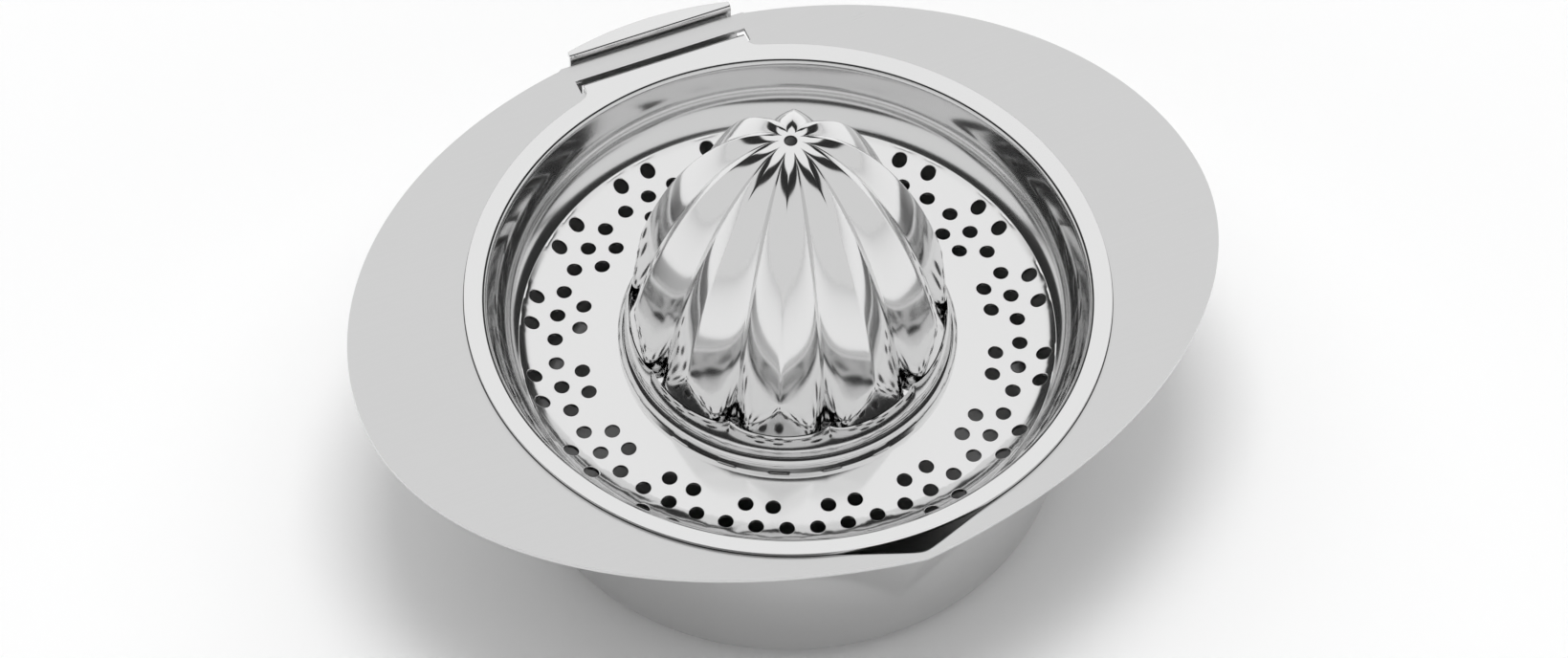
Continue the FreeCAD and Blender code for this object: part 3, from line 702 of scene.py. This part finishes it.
def tongue_patch(root, dish, bowl):
    """The tongue from the flange's edge over its shoulders, round the hook and out to the grip.
    Rows run along the sheet, columns across it."""
    across, centre, _ = tongue_outline(dish)
    count = len(root)
    place = np.linspace(1, -1, count)
    section = hook_section(dish, bowl)
    line = np.stack([place * dish.tongue_half, np.full(count, section[0, 0])], -1)
    turn = np.linspace(math.atan2(-centre, -across), -math.pi, 6)[1:]
    edge = np.stack([
        across + dish.shoulder * np.cos(turn), centre + dish.shoulder * np.sin(turn)], -1)
    edge = np.concatenate([edge, line[:1]])
    near = np.stack([np.sign(place) * place ** 6, place ** 6], -1)
    sheet = [root]
    for index, end in enumerate(edge):
        share = (index + 1) / len(edge)
        row = root[:, :2] + (line - root[:, :2]) * share
        row = row + near * (end - row[0])
        sheet.append(np.concatenate([row, root[:, 2:]], 1))
    sheet += [
        np.stack([place * dish.tongue_half, np.full(count, y), np.full(count, z)], -1)
        for y, z in section[1:]]
    start_y, level = section[-1]
    corner = bowl.rear_edge + dish.grip_gap + dish.sheet + dish.grip_side
    bulge = DISH_HIGH.y - corner
    end = corner + bulge * (1 - place ** 2)
    for share in np.linspace(0, 1, 4)[1:]:
        sheet.append(np.stack([
            place * dish.tongue_half, start_y + (end - start_y) * share, np.full(count, level)], -1))
    grid = np.stack(sheet)
    return grid, grid_faces(grid.shape[0], grid.shape[1], False)[:, ::-1]


def strainer_dish_surface(dish, bowl):
    """Upper face of the dish: collar, floor with its holes, rim and tongue."""
    fillet_radius = 0.5 * MM
    columns = CELL_COLUMNS * 3 * dish.clusters
    angle = dish.turn + TAU * np.arange(columns) / columns
    _, floor, _, _, _ = dish_section(dish, bowl.rim)
    inner, _, _ = hole_rows(dish, bowl.rim)
    fillet_end = dish.collar + fillet_radius
    foot = float(floor_height(fillet_end, dish, bowl.rim))
    fillet = arc((fillet_end, foot + fillet_radius), fillet_radius, 180, 270, 5)
    reach = np.linspace(fillet_end, inner, 9)[1:]
    section = np.concatenate([
        [[dish.collar, floor + dish.collar_height]], fillet,
        np.stack([reach, floor_height(reach, dish, bowl.rim)], -1)])
    middle = polar(section[:, :1], angle, section[:, 1:])
    patches = dish_floor(dish, bowl.rim)
    patches.append((middle, grid_faces(middle.shape[0], columns, True)[:, ::-1]))
    rim_patches, root = dish_rim(dish, bowl.rim, angle)
    patches += rim_patches
    patches.append(tongue_patch(root, dish, bowl))
    return weld(patches)


# Reamer cone


def dome(share, base, tip, power, fullness):
    """Radius of a ridge or valley at a share of the height: tip plus the rest times (1 less the
    share to a power) to another power."""
    return tip + (base - tip) * (1 - np.clip(share, 0, 1) ** power) ** fullness


def lobe_reach(angle, height, cone, base, top):
    """Radius of the lobes. From ridge to valley it falls as a mix of a straight slope, which makes
    two flat sides and a crease on the ridge, and a fifth power, which makes the valley sharp. Below
    the waist the ridges draw in by a tuck."""
    tuck = 2.8 * MM
    soft = 0.03
    share = (height - base) / (top - base)
    ridge = dome(share, cone.ridge, cone.tip, *RIDGE_CURVE)
    valley = dome(share, cone.valley, cone.tip, *VALLEY_CURVE)
    waist = base - cone.base + cone.waist
    below = np.clip((waist - height) / (waist - base), 0, 1)
    at_waist = dome((waist - base) / (top - base), cone.ridge, cone.tip, *RIDGE_CURVE)
    ridge = np.where(height < waist, at_waist - tuck * below ** 2, ridge)
    pitch = TAU / cone.lobes
    off = np.abs((angle - cone.turn + 0.5 * pitch) % pitch - 0.5 * pitch) / (0.5 * pitch)
    crease = 0.25 + 0.6 * smooth(3.5 * share)
    slope = np.sqrt(off ** 2 + soft ** 2) - soft
    fall = crease * slope + (1 - crease) * off ** 5
    return ridge - (ridge - valley) * fall


def shoulder_reach(height, cone, crease_height):
    """Radius of the round shoulder under the lobes: part of a superellipse."""
    depth = 6.9 * MM
    power, fullness = 2.6, 0.45
    share = np.clip((height - crease_height) / cone.shoulder, 0, 1)
    return cone.crease - depth + depth * (1 - share ** power) ** fullness


def cone_angles(cone):
    """Polar angles of the columns, closer together at the ridges and valleys."""
    pitch = TAU / cone.lobes
    share = np.linspace(0, 1, 17)
    half = 0.5 * (share - 0.1 * np.sin(TAU * share))
    one = np.concatenate([half[:-1], 1 - half[::-1][:-1]]) * pitch
    lobes = cone.turn + pitch * np.arange(cone.lobes)
    return (lobes[:, None] + one[None, :]).reshape(-1)


def reamer_cone_surface(cone, floor, foot, top):
    """Outside of the cone. Rows run from the tip hole down the lobes, over the shoulder and the
    ring to the sloping floor, which meets the ring at the foot's height; columns run round. The
    shoulder takes over from the lobes within the fade's width under its top."""
    facet_lean = 0.015
    fade_top = 5.5 * MM
    fade_width = 2 * MM
    angle = cone_angles(cone)
    base = floor + cone.base
    ring_top = floor + cone.skirt
    crease_height = ring_top + cone.ring_round
    lobes_end = base + cone.shoulder + 0.3 * MM
    share = np.linspace(0, 1, 74) ** 1.75
    heights = np.concatenate([
        top - share * (top - lobes_end), np.linspace(lobes_end, crease_height, 34)[1:]])
    rows = [(cone.hole, top)]
    for height in heights:
        lobes = lobe_reach(angle, height, cone, base, top)
        facet = cone.facet - facet_lean * (height - base)
        reach = soft_min(lobes, facet, 0.1 * MM)
        fade = smooth((crease_height + fade_top - height) / fade_width)
        shoulder = shoulder_reach(height, cone, crease_height)
        joined = soft_max(reach, shoulder, 0.35 * MM)
        rows.append((reach + (joined - reach) * fade, height))
    turn = arc((cone.ring - cone.ring_round, ring_top), cone.ring_round, 90, 0, 9)
    bevel = turn[0] + (turn[-1] - turn[0]) * np.linspace(0, 1, 9)[:, None]
    turn = bevel + cone.ring_bulge * (turn - bevel)
    last = rows[-1][0]
    rows.append((0.5 * (last + turn[0, 0]), turn[0, 1] + 0.02 * MM))
    rows += list(turn)
    rows += [(cone.ring, foot + (ring_top - foot) * share) for share in (0.66, 0.33, 0)]
    grid = np.stack([polar(reach, angle, height) for reach, height in rows])
    return grid.reshape(-1, 3), grid_faces(grid.shape[0], grid.shape[1], True)[:, ::-1]


# Operators


class SQUEEZER_OT_juice_bowl(bpy.types.Operator):
    """Make the juice bowl with its brim, spout and slot"""

    bl_idname = "squeezer.juice_bowl"
    bl_label = "Juice Bowl"

    def execute(self, context):
        bowl = settings().bowl
        points, faces = juice_bowl_surface(bowl)
        make_piece(
            "bowl_with_brim", points, faces, bowl.sheet, rounding=0.14 * MM,
            material=satin_steel(), node="juice_bowl")
        return {"FINISHED"}


class SQUEEZER_OT_strainer_dish(bpy.types.Operator):
    """Make the strainer dish with its drain holes, tongue and thumb grip"""

    bl_idname = "squeezer.strainer_dish"
    bl_label = "Strainer Dish"

    def execute(self, context):
        use = settings()
        points, faces = strainer_dish_surface(use.dish, use.bowl)
        make_piece(
            "dish_with_tongue", points, faces, use.dish.sheet, rounding=0.12 * MM,
            material=polished_steel(), node="strainer_dish")
        return {"FINISHED"}


class SQUEEZER_OT_reamer_cone(bpy.types.Operator):
    """Make the fluted reamer cone with its foot and tip hole"""

    bl_idname = "squeezer.reamer_cone"
    bl_label = "Reamer Cone"

    def execute(self, context):
        use = settings()
        _, floor, _, _, _ = dish_section(use.dish, use.bowl.rim)
        foot = float(floor_height(use.cone.ring, use.dish, use.bowl.rim))
        points, faces = reamer_cone_surface(use.cone, floor, foot, CONE_HIGH.z)
        make_piece(
            "fluted_cone", points, faces, use.cone.sheet, rounding=0.1 * MM,
            material=polished_steel(), node="reamer_cone")
        return {"FINISHED"}


def aim(place, target):
    """A turn that points an object's -Z from a place to a target."""
    return (Vector(target) - Vector(place)).to_track_quat("-Z", "Y").to_matrix().to_4x4()


def make_camera(stage, rim):
    """The camera, at the photograph's angle, distance and framing."""
    heading, elevation = stage.heading, stage.elevation
    out = Vector((
        math.cos(elevation) * math.cos(heading), math.cos(elevation) * math.sin(heading),
        math.sin(elevation)))
    right = Vector((-math.sin(heading), math.cos(heading), 0))
    up = out.cross(right)
    turned = math.cos(stage.roll) * right + math.sin(stage.roll) * up
    raised = out.cross(turned)
    place = Vector((0, 0, rim)) + stage.distance * out
    data = bpy.data.cameras.new("camera")
    data.lens = stage.lens
    data.sensor_width = 36
    data.shift_x = stage.shift_x
    data.shift_y = stage.shift_y
    data.clip_end = 20
    camera = bpy.data.objects.new("camera", data)
    camera.matrix_world = Matrix((
        (turned.x, raised.x, out.x, place.x),
        (turned.y, raised.y, out.y, place.y),
        (turned.z, raised.z, out.z, place.z),
        (0, 0, 0, 1)))
    bpy.context.scene.collection.objects.link(camera)
    bpy.context.scene.camera = camera


def make_floor(stage):
    """A plain pale floor, large enough to fill the view."""
    half = 3.0
    mesh = bpy.data.meshes.new("floor")
    corners = [(-half, -half, 0), (half, -half, 0), (half, half, 0), (-half, half, 0)]
    mesh.from_pydata(corners, [], [(0, 1, 2, 3)])
    floor = bpy.data.objects.new("floor", mesh)
    bpy.context.scene.collection.objects.link(floor)
    material = bpy.data.materials.new("pale_floor")
    material.use_nodes = True
    shader = Shader(material.node_tree)
    surface = shader.node("ShaderNodeBsdfPrincipled", {}, {
        "Base Color": tuple(stage.floor) + (1,), "Roughness": 0.9})
    shader.node("ShaderNodeOutputMaterial", {}, {"Surface": surface})
    mesh.materials.append(material)


def make_sky(stage):
    """A light tent in two parts, a bright one overhead and a dimmer one low down. The gap between
    them is dark. It runs all round between two level planes that are tilted up at the near side,
    and its edges are soft."""
    world = bpy.data.worlds.new("light_tent")
    bpy.context.scene.world = world
    world.use_nodes = True
    shader = Shader(world.node_tree)
    way = shader.node("ShaderNodeTexCoord", {}, {}, "Generated")
    up = shader.node("ShaderNodeSeparateXYZ", {}, {"Vector": way}, "Z")
    level = up - toward(shader, way, stage.heading) * stage.tilt
    low, high = stage.gap_low, stage.gap_high
    fade = 0.1
    below, above = 0.03, 0.02
    bright = stage.wall + level.clamped(high - fade, high + fade) * (stage.sky - stage.wall)
    gap = level.clamped(low - below, low + above) * level.clamped(high + above, high - below)
    strength = bright * (1 - gap * (1 - stage.gap))
    light = shader.node("ShaderNodeBackground", {}, {
        "Color": (1, 1, 1, 1), "Strength": strength})
    shader.node("ShaderNodeOutputWorld", {}, {"Surface": light})


def toward(shader, way, heading):
    """Cosine of the angle between a way and the level direction with a given heading."""
    level_way = (math.cos(heading), math.sin(heading), 0)
    return shader.node(
        "ShaderNodeVectorMath", {"operation": "DOT_PRODUCT"}, {0: way, 1: level_way}, "Value")


def make_lamp(name, place, size, power):
    """A square soft lamp that points at the object. It lights the floor, and polished steel doesn't
    mirror it."""
    data = bpy.data.lights.new(name, "AREA")
    data.shape = "SQUARE"
    data.size = size
    data.energy = power
    lamp = bpy.data.objects.new(name, data)
    lamp.visible_glossy = False
    lamp.matrix_world = Matrix.Translation(place) @ aim(place, (0, 0, 0.03))
    bpy.context.scene.collection.objects.link(lamp)


class SQUEEZER_OT_stage(bpy.types.Operator):
    """Make the camera, the floor and the light"""

    bl_idname = "squeezer.stage"
    bl_label = "Stage"

    def execute(self, context):
        stage = settings().stage
        make_camera(stage, settings().bowl.rim)
        make_floor(stage)
        make_sky(stage)
        make_lamp("lamp_overhead", LAMP_PLACE, LAMP_SIZE, stage.lamp)
        context.scene.view_settings.view_transform = "Standard"
        return {"FINISHED"}


class SQUEEZER_PT_panel(bpy.types.Panel):
    """Buttons for the squeezer's pieces"""

    bl_idname = "SQUEEZER_PT_panel"
    bl_label = "Citrus Squeezer"
    bl_space_type = "VIEW_3D"
    bl_region_type = "UI"
    bl_category = "Squeezer"

    def draw(self, context):
        for operator in OPERATORS:
            self.layout.operator(operator.bl_idname)
        for group in ("bowl", "dish", "cone", "finish", "stage"):
            column = self.layout.column()
            column.label(text=group.capitalize())
            values = getattr(context.scene.squeezer, group)
            for name in values.__annotations__:
                column.prop(values, name)


class SqueezerSettings(bpy.types.PropertyGroup):
    """All sizes and colours of the squeezer."""

    bowl: PointerProperty(type=BowlSettings, name="Bowl", description="Sizes of the juice bowl")
    dish: PointerProperty(type=DishSettings, name="Dish", description="Sizes of the strainer dish")
    cone: PointerProperty(type=ConeSettings, name="Cone", description="Sizes of the reamer cone")
    finish: PointerProperty(type=FinishSettings, name="Finish", description="Steel finishes")
    stage: PointerProperty(type=StageSettings, name="Stage", description="Camera and light")


OPERATORS = (
    SQUEEZER_OT_juice_bowl, SQUEEZER_OT_strainer_dish, SQUEEZER_OT_reamer_cone, SQUEEZER_OT_stage)
CLASSES = (
    BowlSettings, DishSettings, ConeSettings, FinishSettings, StageSettings,
    SqueezerSettings) + OPERATORS + (SQUEEZER_PT_panel,)


def register():
    for item in CLASSES:
        bpy.utils.register_class(item)
    bpy.types.Scene.squeezer = PointerProperty(type=SqueezerSettings)


def unregister():
    del bpy.types.Scene.squeezer
    for item in reversed(CLASSES):
        bpy.utils.unregister_class(item)


def main():
    """Make the whole scene."""
    register()
    bpy.ops.squeezer.juice_bowl()
    bpy.ops.squeezer.strainer_dish()
    bpy.ops.squeezer.reamer_cone()
    bpy.ops.squeezer.stage()
    bpy.context.view_layer.update()


if __name__ == "__main__":
    main()
